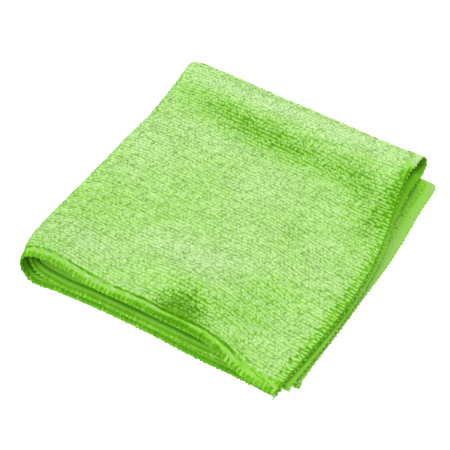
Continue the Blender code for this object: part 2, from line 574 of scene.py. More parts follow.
@dataclass(frozen=True)
class TwoScaleNoise:
    """A node group that puts out noise of two scales over the cloth, about zero."""

    name: str
    output: str
    scales: tuple[float, float]
    details: tuple[float, float]
    added_share: float = 0.5
    roughness: float = 0.5
    distortion: float = 0.0

    def build(self) -> None:
        """Builds the group, which adds a share of its second noise to its first."""
        group = bpy.data.node_groups.new(self.name, "ShaderNodeTree")
        scale_names = ("Main Scale", "Added Scale")
        for label, value in (*zip(scale_names, self.scales), ("Added Share", self.added_share)):
            socket = group.interface.new_socket(label, in_out="INPUT", socket_type="NodeSocketFloat")
            socket.default_value = value
        group.interface.new_socket(self.output, in_out="OUTPUT", socket_type="NodeSocketFloat")
        inputs = group.nodes.new("NodeGroupInput").outputs
        place = group.nodes.new("ShaderNodeTexCoord")
        parts = []
        for scale_name, detail in zip(scale_names, self.details):
            noise = group.nodes.new("ShaderNodeTexNoise")
            noise.inputs["Detail"].default_value = detail
            noise.inputs["Roughness"].default_value = self.roughness
            noise.inputs["Distortion"].default_value = self.distortion
            group.links.new(place.outputs["Object"], noise.inputs["Vector"])
            group.links.new(inputs[scale_name], noise.inputs["Scale"])
            parts.append(add_math(group, "SUBTRACT", noise.outputs["Fac"], 0.5))
        added = add_math(group, "MULTIPLY", parts[1], inputs["Added Share"])
        total = add_math(group, "ADD", parts[0], added)
        group.links.new(total, group.nodes.new("NodeGroupOutput").inputs[self.output])


CRIMPED_FIBRES = TwoScaleNoise(
    "crimped_fibres", "Height", (2200.0, 620.0), (3.0, 2.0), roughness=0.65, distortion=0.6
)
UNEVEN_NAP = TwoScaleNoise("uneven_nap", "Lightness", (38.0, 420.0), (2.0, 2.0))


@dataclass(frozen=True)
class FibreFinish:
    """A matt microfibre finish whose colour runs from a deep root to a light tip."""

    name: str
    stops: Columns
    roughness: float = 0.92
    sheen: float = 0.0
    sheen_tint: tuple[float, float, float] = (0.6, 1.0, 0.4)
    sheen_roughness: float = 0.45
    bump_distance: float = 0.00022
    bump_strength: float = 0.8
    fibre_scale: float = 2200.0
    clump_scale: float = 620.0
    patch_share: float = 0.2

    def make(self) -> bpy.types.Material:
        """Builds the material's nodes.

        Returns:
            The material.
        """
        material = bpy.data.materials.new(self.name)
        material.use_nodes = True
        tree = material.node_tree
        shader = tree.nodes["Principled BSDF"]
        shader.inputs["Roughness"].default_value = self.roughness
        shader.inputs["Specular IOR Level"].default_value = 0.0
        shader.inputs["Sheen Weight"].default_value = self.sheen
        shader.inputs["Sheen Roughness"].default_value = self.sheen_roughness
        shader.inputs["Sheen Tint"].default_value = (*self.sheen_tint, 1.0)
        tree.links.new(self.colour(tree), shader.inputs["Base Color"])
        tree.links.new(self.relief(tree), shader.inputs["Normal"])
        return material

    def colour(self, tree: bpy.types.NodeTree) -> bpy.types.NodeSocket:
        """Adds the nodes of the colour.

        Args:
            tree: The material's node tree.

        Returns:
            The colour's socket.
        """
        share = tree.nodes.new("ShaderNodeAttribute")
        share.attribute_name = "root_to_tip"
        tone = tree.nodes.new("ShaderNodeAttribute")
        tone.attribute_name = "tone"
        mottle = tree.nodes.new("ShaderNodeGroup")
        mottle.node_tree = bpy.data.node_groups[UNEVEN_NAP.name]
        patches = add_math(tree, "MULTIPLY", mottle.outputs["Lightness"], self.patch_share)
        lightness = add_math(tree, "ADD", tone.outputs["Fac"], patches)
        place = add_math(tree, "ADD", share.outputs["Fac"], lightness)
        ramp = tree.nodes.new("ShaderNodeValToRGB")
        stops = ramp.color_ramp.elements
        for number, (position, red, green, blue) in enumerate(zip(*self.stops.values())):
            stop = stops[number] if number < len(stops) else stops.new(position)
            stop.position = position
            stop.color = (red, green, blue, 1.0)
        tree.links.new(place, ramp.inputs["Fac"])
        return ramp.outputs["Color"]

    def relief(self, tree: bpy.types.NodeTree) -> bpy.types.NodeSocket:
        """Adds the nodes of the fine relief.

        Args:
            tree: The material's node tree.

        Returns:
            The normal's socket.
        """
        fibres = tree.nodes.new("ShaderNodeGroup")
        fibres.node_tree = bpy.data.node_groups[CRIMPED_FIBRES.name]
        fibres.inputs["Main Scale"].default_value = self.fibre_scale
        fibres.inputs["Added Scale"].default_value = self.clump_scale
        bump = tree.nodes.new("ShaderNodeBump")
        bump.inputs["Distance"].default_value = self.bump_distance
        bump.inputs["Strength"].default_value = self.bump_strength
        tree.links.new(fibres.outputs["Height"], bump.inputs["Height"])
        return bump.outputs["Normal"]


# Linear greens of the brushed pile, from deep in a groove to a tip in full light.
PILE_STOPS = table(
    "position red green blue",
    (0, 0.155, 0.40, 0.026),
    (0.3, 0.27, 0.58, 0.085),
    (0.6, 0.43, 0.69, 0.235),
    (1, 0.64, 0.81, 0.49),
)
# Linear greens of the smooth hem and its thread, deeper than the pile's.
HEM_STOPS = table(
    "position red green blue",
    (0, 0.08, 0.31, 0.005),
    (0.2, 0.155, 0.45, 0.021),
    (0.33, 0.25, 0.605, 0.051),
    (0.47, 0.30, 0.535, 0.145),
    (0.6, 0.40, 0.63, 0.23),
    (1, 0.58, 0.76, 0.42),
)


@dataclass(frozen=True)
class Finishes:
    """All the finishes of the cloth."""

    pile: FibreFinish = FibreFinish("lime_looped_pile", PILE_STOPS, sheen=0.05, bump_strength=0.5)
    ground: FibreFinish = FibreFinish("lime_ground_knit", HEM_STOPS, fibre_scale=2600.0, clump_scale=900.0)
    thread: FibreFinish = FibreFinish(
        "lime_sewing_thread",
        HEM_STOPS,
        roughness=0.85,
        fibre_scale=3200.0,
        clump_scale=1400.0,
        patch_share=0.12,
    )


# --- Painted light and shade --------------------------------------------------


@dataclass(frozen=True)
class PaintedShading:
    """Painted light and shade in soft patches, on the top and below it."""

    fold: FoldMap
    # Painted shade where the top's slopes face the front, as in the dark band before the back fold and the
    # dark hollow at the front; painted light on the back fold and the loop's end.
    patches: Columns = table_field(
        "x y length width turn height",
        (54, 153, 34, 8, -8, -0.30),
        (106, 148, 56, 9, -3, -0.28),
        (82, 172, 90, 8, 0, 0.18),
        (150, 134, 26, 11, -62, -0.17),
        (166, 138, 30, 7, 84, -0.30),
        (175, 50, 66, 6, 89, -0.16),
        (173, 176, 8, 9, 0, 0.50),
        (97, 15, 13, 14, 10, -0.85),
        (106, 7, 32, 7, 2, -0.60),
        (30, 4, 50, 6, 0, -0.10),
        (-1, 1, 5, 7, 0, -0.55),
        (156, -1, 26, 8, -8, -0.07),
        (88, 52, 40, 12, 0, 0.17),
        (96, 104, 22, 26, 0, 0.05),
        (129, 93, 10, 8, 0, -0.08),
        (134, 52, 26, 9, 8, -0.20),
        (24, 62, 30, 14, 0, -0.07),
        (16, 110, 22, 12, 0, 0.10),
        (44, 130, 26, 8, 0, 0.10),
        (24, 31, 22, 8, 0, 0.13),
        (124, 30, 24, 10, 8, -0.18),
    )
    # Painted shade below the top: along the front rim under the stack, at the left rim and inside the back
    # loop; painted light on the lower pair's right corner.
    shades: Columns = table_field(
        "x y length width turn height",
        (88, -4, 130, 6, 0, -0.16),
        (-3, 2, 5, 10, 0, -0.25),
        (168, 166, 8, 20, 0, -0.16),
        (186, 180, 12, 14, 0, 0.24),
    )

    def tone(self, points: np.ndarray, is_top: np.ndarray) -> np.ndarray:
        """Reads the painted light and shade.

        Args:
            points: Folded places, in metres.
            is_top: True for points on the top of the folded cloth.

        Returns:
            The lightness at each point, about zero.
        """
        x = points[..., 0] / METRES + self.fold.centre[0]
        y = points[..., 1] / METRES + self.fold.centre[1]
        return np.where(is_top, mound_sum(self.patches, x, y), mound_sum(self.shades, x, y))


# --- Ground knit --------------------------------------------------------------


@dataclass(frozen=True)
class SheetPlaces:
    """Places on the faces of the flat sheet; face is 1 outside and -1 inside."""

    u: np.ndarray
    v: np.ndarray
    face: np.ndarray
    half: float

    @property
    def from_hem(self) -> np.ndarray:
        """Distance from the nearer hem in front."""
        return self.half - np.abs(self.v)

    @property
    def from_side(self) -> np.ndarray:
        """Distance from the nearer hem at the side."""
        return self.half - np.abs(self.u)

    @property
    def by_side(self) -> np.ndarray:
        """True where a side hem is nearer than a front hem."""
        return self.from_side < self.from_hem

    @property
    def is_top(self) -> np.ndarray:
        """True on the outer face of the upper pair of layers."""
        return (self.face > 0) & (self.u > 0)

    @property
    def on_outer_half(self) -> np.ndarray:
        """True on the top of the folded cloth."""
        return self.is_top & (self.v > 0)


@dataclass(frozen=True)
class GroundKnit:
    """The sheet itself under its pile, with the smooth strip of its hem."""

    fold: FoldMap
    painted_shading: PaintedShading
    fold_steps_across: tuple[tuple[int, float], ...] = ((12, 1.3), (4, 1.8))
    fold_steps_along: tuple[tuple[int, float], ...] = ((8, 1.0), (4, 1.6))
    plain_step: float = 2.3
    thin: float = 1.0
    # Painted shade: inner_lightness caps the faces inside the folds, edge_lightness lifts that cap on the
    # inner half's outer side strips, inner_side_darker deepens the inner faces by the sides, top_side_darker
    # darkens the top's right edge.
    inner_lightness: float = 0.34
    edge_lightness: float = 0.20
    strip_lightness: float = 0.40
    strip_height: float = 0.80
    strip_start: float = 2.6
    corner_darker: float = 0.11
    inner_side_darker: float = 0.08
    top_side_darker: float = 0.24
    side_reach: float = 9.0
    loop_reach: float = 22.0
    groove_place: float = 6.2
    groove_reach: float = 1.0
    groove_fade: tuple[float, float] = (8.0, 50.0)
    groove_least: float = 0.2
    groove_uneven: float = 0.18
    painted_shade_on_hem: float = 0.15
    hem_uneven: float = 0.10
    uneven_band: float = 9.0
    seed: int = 5
    # The lightness column paints shade where the hem's outer edge rolls down and in the groove before the
    # pile, and light on the top of the strip.
    hem: Columns = table_field(
        "from_edge height lightness",
        (0, 0.35, 0.18),
        (0.7, 0.62, 0.19),
        (1.5, 0.68, 0.20),
        (2.3, 0.72, 0.21),
        (3, 0.90, 0.41),
        (4.1, 0.92, 0.44),
        (5.1, 0.84, 0.42),
        (5.7, 0.52, 0.26),
        (6.3, 0.42, 0.17),
        (7, 0.60, 0.30),
        (8, 0.66, 0.38),
        (12, 0.70, 0.42),
    )
    side: Columns = table_field(
        "from_edge height lightness",
        (0, 0.40, 0.36),
        (0.6, 0.62, 0.38),
        (1.7, 0.68, 0.40),
        (2.9, 0.70, 0.41),
        (4.2, 0.70, 0.41),
        (5.1, 0.68, 0.38),
        (5.7, 0.66, 0.32),
        (6.3, 0.64, 0.32),
        (7, 0.64, 0.34),
        (8, 0.66, 0.38),
        (12, 0.70, 0.42),
    )

    def lines(self, runs: tuple[tuple[int, float], ...]) -> np.ndarray:
        """Places of the grid's lines from one hem to the other.

        Args:
            runs: Count and length of the steps next to the fold.

        Returns:
            The places, close together at the fold and over the hem's strip.
        """
        places = [0.0]
        for count, step in runs:
            for _ in range(count):
                places.append(places[-1] + step)
        hem = self.fold.half - self.hem["from_edge"][-2::-1]
        plain_count = round((hem[0] - places[-1]) / self.plain_step)
        plain = np.linspace(places[-1], hem[0], plain_count + 1)[1:-1]
        half = np.concatenate([places, plain, hem])
        return np.concatenate([-half[:0:-1], half])

    def build(self) -> bpy.types.Object:
        """Models the sheet flat, thickens it and folds it.

        Returns:
            The closed sheet, with its flat places as a UV map.
        """
        across = self.lines(self.fold_steps_across)
        along = self.lines(self.fold_steps_along)
        last_column = len(across) - 1
        last_row = len(along) - 1
        begin_piece()
        bpy.ops.mesh.primitive_grid_add(x_subdivisions=last_column, y_subdivisions=last_row, size=2.0)
        piece = bpy.context.object
        piece.name = "ground_knit"
        flat = np.array([vert.co for vert in piece.data.vertices])
        columns = np.rint((flat[:, 0] + 1) / 2 * last_column).astype(int)
        rows = np.rint((flat[:, 1] + 1) / 2 * last_row).astype(int)
        flat[:, 0] = across[columns]
        flat[:, 1] = along[rows]
        piece.data.vertices.foreach_set("co", flat.ravel())
        self.map_cut(piece.data)
        thicken = piece.modifiers.new("thickness", "SOLIDIFY")
        thicken.thickness = self.thin
        thicken.offset = 0.0
        bpy.ops.object.modifier_apply(modifier="thickness")
        self.fold_mesh(piece.data)
        bpy.ops.object.shade_smooth()
        return piece

    def map_cut(self, mesh: bpy.types.Mesh) -> None:
        """Writes each corner's place on the flat sheet to the UV map.

        Args:
            mesh: The flat sheet's mesh.
        """
        places = np.array([mesh.vertices[loop.vertex_index].co[:2] for loop in mesh.loops])
        uv_map = mesh.uv_layers[0] if mesh.uv_layers else mesh.uv_layers.new(name="cut")
        uv_map.name = "cut"
        uv_map.data.foreach_set("uv", (places / (2 * self.fold.half) + 0.5).ravel())

    def fold_mesh(self, mesh: bpy.types.Mesh) -> None:
        """Shapes the faces over the hem and carries the flat sheet to its folds.

        Args:
            mesh: The flat sheet's mesh, thickened.
        """
        flat = np.array([vert.co for vert in mesh.vertices])
        at = SheetPlaces(flat[:, 0], flat[:, 1], -np.sign(flat[:, 2]), self.fold.half)
        points = self.fold.place(at.u, at.v, at.face * self.relief(at))
        mesh.vertices.foreach_set("co", points.ravel())
        add_values(mesh, "root_to_tip", self.lightness(at))
        add_values(mesh, "tone", self.tone(at, points))
        mesh.update()

    def over_hem(self, at: SheetPlaces, column: str) -> np.ndarray:
        """Reads a column from the nearest hem's table.

        Args:
            at: The places.
            column: The column.

        Returns:
            The value at each place.
        """
        by_side = read_smooth(self.side, "from_edge", column, at.from_side)
        in_front = read_smooth(self.hem, "from_edge", column, at.from_hem)
        return np.where(at.by_side, by_side, in_front)

    def in_strip(self, at: SheetPlaces, start: float, end: float) -> np.ndarray:
        """True between two distances from the top's front hem."""
        return at.on_outer_half & ~at.by_side & (at.from_hem > start) & (at.from_hem < end)

    def in_groove(self, at: SheetPlaces) -> np.ndarray:
        """True in the groove between the top's front hem and its pile."""
        start = self.groove_place - self.groove_reach
        return self.in_strip(at, start, start + 2 * self.groove_reach)

    def groove_share(self, at: SheetPlaces) -> np.ndarray:
        """How much of the groove is left towards the right corner."""
        start, reach = self.groove_fade
        return np.clip((self.fold.half - start - at.u) / reach, self.groove_least, 1.0)

    def relief(self, at: SheetPlaces) -> np.ndarray:
        """Height of the faces over the middle of the sheet.

        Args:
            at: The places.

        Returns:
            The height at each place, above zero.
        """
        height = self.over_hem(at, "height")
        filled = self.strip_height + (height - self.strip_height) * self.groove_share(at)
        return np.where(self.in_groove(at), filled, height)

    def lightness(self, at: SheetPlaces) -> np.ndarray:
        """Lightness of the knit, with painted shade on the inner faces and on the sheet's inner half, which
        lie inside the folds, lifted a little on that half's outer side strips, and painted shade along the
        top's right edge; also deeper at the right corner.

        Args:
            at: The places.

        Returns:
            The place of the colour between the root, 0, and the tip, 1.
        """
        light = self.over_hem(at, "lightness")
        # Painted shade on the inner faces and the sheet's inner half, lifted on that half's outer side
        # strips.
        by_side = np.where(at.face > 0, self.edge_lightness, -self.inner_side_darker) * at.by_side
        is_inside = (at.face < 0) | (at.v < 0)
        light = np.where(is_inside, np.minimum(light, self.inner_lightness + by_side), light)
        left = self.groove_share(at)
        filled = self.strip_lightness + (light - self.strip_lightness) * left
        light = np.where(self.in_groove(at), filled, light)
        in_strip = self.in_strip(at, self.strip_start, self.groove_place)
        light = light - self.corner_darker * (1 - left) * in_strip
        # Painted shade along the top's right edge, fading towards the back fold.
        past_loop = 1 - np.exp(-((at.v / self.loop_reach) ** 2))
        near_side = np.clip(1 - at.from_side / self.side_reach, 0, 1) * (at.on_outer_half & at.by_side)
        return light - self.top_side_darker * past_loop * near_side

    def tone(self, at: SheetPlaces, points: np.ndarray) -> np.ndarray:
        """The painted light and shade patches and the hem's small unevenness.

        Args:
            at: The places.
            points: The folded places, in metres.

        Returns:
            The lightness at each place, about zero.
        """
        # Painted light and shade patches, weaker on the hem's strip.
        tone = self.painted_shading.tone(points, at.is_top)
        on_strip = self.in_strip(at, -1.0, self.groove_place - self.groove_reach / 2)
        tone = np.where(on_strip, tone * self.painted_shade_on_hem, tone)
        in_hem = at.on_outer_half & (np.minimum(at.from_hem, at.from_side) < self.uneven_band)
        uneven = np.random.default_rng(self.seed).normal(0, 1, len(tone))
        return tone + in_hem * uneven * np.where(self.in_groove(at), self.groove_uneven, self.hem_uneven)


# --- Looped pile --------------------------------------------------------------


@dataclass(frozen=True)
class TuftModeller:
    """Models the small lumps of looped microfibre that the pile is made of."""

    kinds: int = 5
    sides: int = 5
    length: float = 4.3
    width: float = 2.2
    sunk: float = 0.35
    root_start: float = -0.2
    lumps: float = 0.26
    end_girth: float = 0.9
    more_girth: float = 0.25

    def model(self, rings: int, seed: int) -> list[Template]:
        """Models a few kinds of tuft.

        Args:
            rings: Rings from a tuft's tip to its root.
            seed: Start of the lumps' random draws.

        Returns:
            One template for each kind; z is 0 at the ground and 1 at the tip.
        """
        draws = np.random.default_rng(seed)
        templates = []
        for _ in range(self.kinds):
            begin_piece()
            bpy.ops.mesh.primitive_uv_sphere_add(segments=self.sides, ring_count=rings, radius=1.0)
            bpy.ops.transform.resize(value=(self.length / 2, self.width / 2, 1.0))
            bpy.ops.object.transform_apply(location=False, rotation=True, scale=True)
            tuft = bpy.context.object
            for vert in tuft.data.vertices:
                lump = 1 + self.lumps * (2 * draws.random() - 1)
                girth = (1 - min(abs(vert.co.z), 1.0)) ** 0.5 * self.more_girth + self.end_girth
                vert.co.x *= lump * girth
                vert.co.y *= (2 - lump) * girth
                vert.co.z = -self.sunk if vert.co.z < self.root_start else vert.co.z * lump
            templates.append(Template.take(tuft))
        return templates


@dataclass(frozen=True)
class TuftField:
    """Where the pile's tufts stand on one face of a part of the sheet.

    The band is how far the field reaches in from the hems, and hem_front and
    hem_right how much of them it leaves bare.  A combed field ends on the right
    in a row of longer, finer tufts, and leaves more bare at the back fold.
    """

    name: str
    face: Face
    u_range: tuple[float, float]
    v_range: tuple[float, float]
    rings: int
    seed: int
    band: float = 200.0
    top: float = 0.97
    hem_front: float = 6.5
    hem_right: float = 6.5
    # darker lowers the colour of a field inside the folds, painted shade; least keeps it above a floor.
    darker: float = 0.0
    combed: bool = False
    bare: float = 0.0
    least: float = 0.0


@dataclass(frozen=True)
class LoopedPile:
    """Ribs of looped tufts that run along the front hem."""

    fold: FoldMap
    painted_shading: PaintedShading
    rib_pitch: float = 2.08
    tuft_pitch: float = 2.5
    stagger: float = 0.5
    ground: float = 0.55
    margin: float = 3.6
    spill: tuple[float, float] = (0.4, 0.2)
    wave: float = 0.5
    wave_length: float = 31.0
    spot_jitter: tuple[float, float] = (0.32, 0.15)
    lengths: tuple[float, float] = (0.84, 1.2)
    widths: tuple[float, float] = (0.86, 1.10)
    heights: tuple[float, float] = (0.80, 1.12)
    turn_jitter: float = 0.22
    lean_jitter: float = 0.26
    hem_jitter: float = 0.5
    tone_jitter: float = 0.025
    over_hem: tuple[float, float] = (0.9, 1.2)
    edge_reach: float = 8.0
    edge_zone: float = 4.6
    edge_row: float = 2.3
    edge_wobble: float = 0.2
    edge_turn: float = 9.0
    edge_growth: tuple[float, float, float] = (0.25, -0.28, -0.25)
    edge_shade: float = 0.14
    bare_reach: float = 18.0
    # Roots darker than tips paint shade in the grooves between the tufts; patch_at_root deepens painted
    # shade at the roots in the dark patches, where light catches only the tips.
    root_lightness: float = 0.42
    tip_lightness: float = 0.64
    tip_share: float = 0.45
    patch_at_root: float = 1.5
    patch_at_tip: float = 0.55

    def build(self, place: TuftField) -> bpy.types.Object:
        """Sets the tufts of one field and joins them.

        Args:
            place: The field.

        Returns:
            One object with all its tufts.
        """
        draws = np.random.default_rng(place.seed)
        kinds = TuftModeller().model(place.rings, place.seed)
        u, v = self.spots(place, draws)
        chosen = draws.integers(0, len(kinds), len(u))
        copies = JoinedCopies()
        for number, template in enumerate(kinds):
            mine = chosen == number
            self.add_kind(copies, template, place, u[mine, None], v[mine, None], draws)
        return copies.join(place.name)

    def spots(self, place: TuftField, draws: np.random.Generator) -> tuple[np.ndarray, np.ndarray]:
        """Lays out the tufts' places on the flat sheet.

        Args:
            place: The field.
            draws: The random draws.

        Returns:
            u and v of each tuft.
        """
        half = self.fold.half
        reach = half - self.margin
        ribs = np.arange(-reach, reach, self.rib_pitch) + self.rib_pitch / 2
        beads = np.arange(-reach, reach, self.tuft_pitch) + self.tuft_pitch / 2
        u, v = (grid.ravel() for grid in np.meshgrid(beads, ribs))
        row = np.rint(v / self.rib_pitch)
        jitter_u, jitter_v = (draws.normal(0, spread, len(u)) for spread in self.spot_jitter)
        u = u + (row % 2 - 0.5) * self.tuft_pitch * self.stagger + jitter_u
        right = reach + self.spill[0]
        if place.combed:
            right = half - self.edge_row + self.edge_wobble
            edge = half - self.edge_row + self.edge_wobble * np.sin(self.edge_turn * row)
            u = np.where(u > half - self.edge_zone, edge, u)
        v = v + self.wave * smooth_waves(u, row, self.wave_length) + jitter_v
        u = np.clip(u, -reach - self.spill[0], right)
        v = np.clip(v, -reach - self.spill[1], reach + self.spill[1])
        from_front = half - np.abs(v)
        from_right = half - np.abs(u)
        bare = place.bare * np.exp(-((v / self.bare_reach) ** 2))
        inside = (u >= place.u_range[0]) & (u < place.u_range[1])
        inside &= (v >= place.v_range[0]) & (v < place.v_range[1])
        inside &= np.minimum(from_front, from_right) < place.band
        inside &= (from_front > place.hem_front) & (from_right - bare > place.hem_right)
        return u[inside], v[inside]

    def add_kind(
        self,
        copies: JoinedCopies,
        template: Template,
        place: TuftField,
        u: np.ndarray,
        v: np.ndarray,
        draws: np.random.Generator,
    ) -> None:
        """Adds all the tufts of one kind.

        Args:
            copies: The mesh that they join.
            template: The kind's template.
            place: The field.
            u: The tufts' places across the left fold, one in each row.
            v: The tufts' places across the back fold, one in each row.
            draws: The random draws.
        """
        half = self.fold.half
        turn = draws.normal(0, self.turn_jitter, u.shape)
        sizes = [draws.uniform(*limits, u.shape) for limits in (self.lengths, self.widths, self.heights)]
        near_side = np.clip(1 - (half - place.hem_right - np.abs(u)) / self.edge_reach, 0, 1) * place.combed
        long, wide, tall = (size * (1 + more * near_side) for size, more in zip(sizes, self.edge_growth))
        x, y, level = template.axes()
        lifted = np.clip(level, 0, 1)
        lean = draws.normal(0, self.lean_jitter, (2, *u.shape))
        along = u + x * long * np.cos(turn) - y * wide * np.sin(turn) + lifted * lean[0]
        aside = v + x * long * np.sin(turn) + y * wide * np.cos(turn) + lifted * lean[1]
        height = self.ground + np.where(level > 0, level * ((place.top - self.ground) * tall), level)
        limit_u = half - place.hem_right + self.over_hem[0]
        limit_v = half - place.hem_front + self.over_hem[1] + draws.normal(0, self.hem_jitter, u.shape)
        along = np.clip(along, -limit_u, limit_u)
        aside = np.clip(aside, -limit_v, limit_v)
        points = self.fold.place(along, aside, place.face.value * height)
        # Random tone, painted shade on the combed right edge, and the painted light and shade patches,
        # deeper at the roots.
        tone = draws.normal(0, self.tone_jitter, u.shape) - self.edge_shade * near_side
        patches = self.painted_shading.tone(points, (along > 0) & (aside > 0) & (place.face is Face.OUTER))
        deep = (1 - self.patch_at_root * patches) * (1 - lifted) + self.patch_at_tip * lifted
        tone = tone + patches * np.where(patches < 0, deep, 1.0)
        # Darker at the root, painted shade in the grooves, and darker in fields inside the folds, painted
        # shade too.
        rise = (self.tip_lightness - self.root_lightness) * lifted**self.tip_share * tall
        share = np.maximum(self.root_lightness + rise - place.darker, place.least)
        copies.add(template, points, share, tone, place.face is Face.OUTER)


@dataclass(frozen=True)
class LooseFibres:
    """Short fibres that stand out of the pile and soften its outline."""

    fold: FoldMap
    painted_shading: PaintedShading
    count: int = 22500
    lengths: tuple[float, float] = (0.6, 1.4)
    width: float = 0.34
    root: float = 0.8
    lean: float = 0.9
    hem: float = 6.5
    past_left_fold: float = 10.0
    past_back_fold: float = 8.0
    u_jitter: float = 2.5
    tone_jitter: float = 0.06
    root_lightness: float = 0.36
    more_at_tip: float = 0.22
    seed: int = 41

    def model_fibre(self) -> Template:
        """Models one fibre as a thin three-sided spike.

        Returns:
            Its template, with its root at 0 and its tip at 1.
        """
        begin_piece()
        bpy.ops.mesh.primitive_cone_add(vertices=3, radius1=0.5, depth=1.0, location=(0, 0, 0.5))
        bpy.ops.object.transform_apply(location=True, rotation=True, scale=True)
        return Template.take(bpy.context.object)

    def build(self) -> bpy.types.Object:
        """Scatters the fibres over the outer face of the outer half.

        Returns:
            One object with all the fibres.
        """
        draws = np.random.default_rng(self.seed)
        template = self.model_fibre()
        x, y, level = template.axes()
        shape = (self.count, 1)
        reach = self.fold.half - self.hem
        u = draws.uniform(-self.past_left_fold, reach, shape) + draws.normal(0, self.u_jitter, shape)
        v = draws.uniform(-self.past_back_fold, reach, shape)
        size = draws.uniform(*self.lengths, shape)
        lean = draws.normal(0, self.lean, (2, *shape)) * size
        along = u + x * self.width + lean[0] * level
        aside = v + y * self.width + lean[1] * level
        points = self.fold.place(along, aside, self.root + level * size)
        # Random tone and the painted light and shade patches.
        tone = draws.normal(0, self.tone_jitter, shape) + self.painted_shading.tone(points, along > 0)
        copies = JoinedCopies()
        copies.add(template, points, self.root_lightness + self.more_at_tip * level, tone, True)
        return copies.join("loose_fibres")


# --- Sewing -------------------------------------------------------------------


class HemSide(Enum):
    """The four sides of the sheet, by the way that they face in u and v."""

    OUTER_HEM = (0, 1)
    UPPER_RIGHT = (1, 0)
    INNER_HEM = (0, -1)
    LOWER_RIGHT = (-1, 0)


@dataclass(frozen=True)
class Stitch:
    """One kind of stitch.

    The shift is its start as a share of the pitch, the slant how far it leans
    along the edge over its depth, the lightness its place between the root and
    tip colours, and the side_size its size on the side hems.
    """

    template: Template
    shift: float
    slant: float
    width: float
    lightness: float
    side_size: float


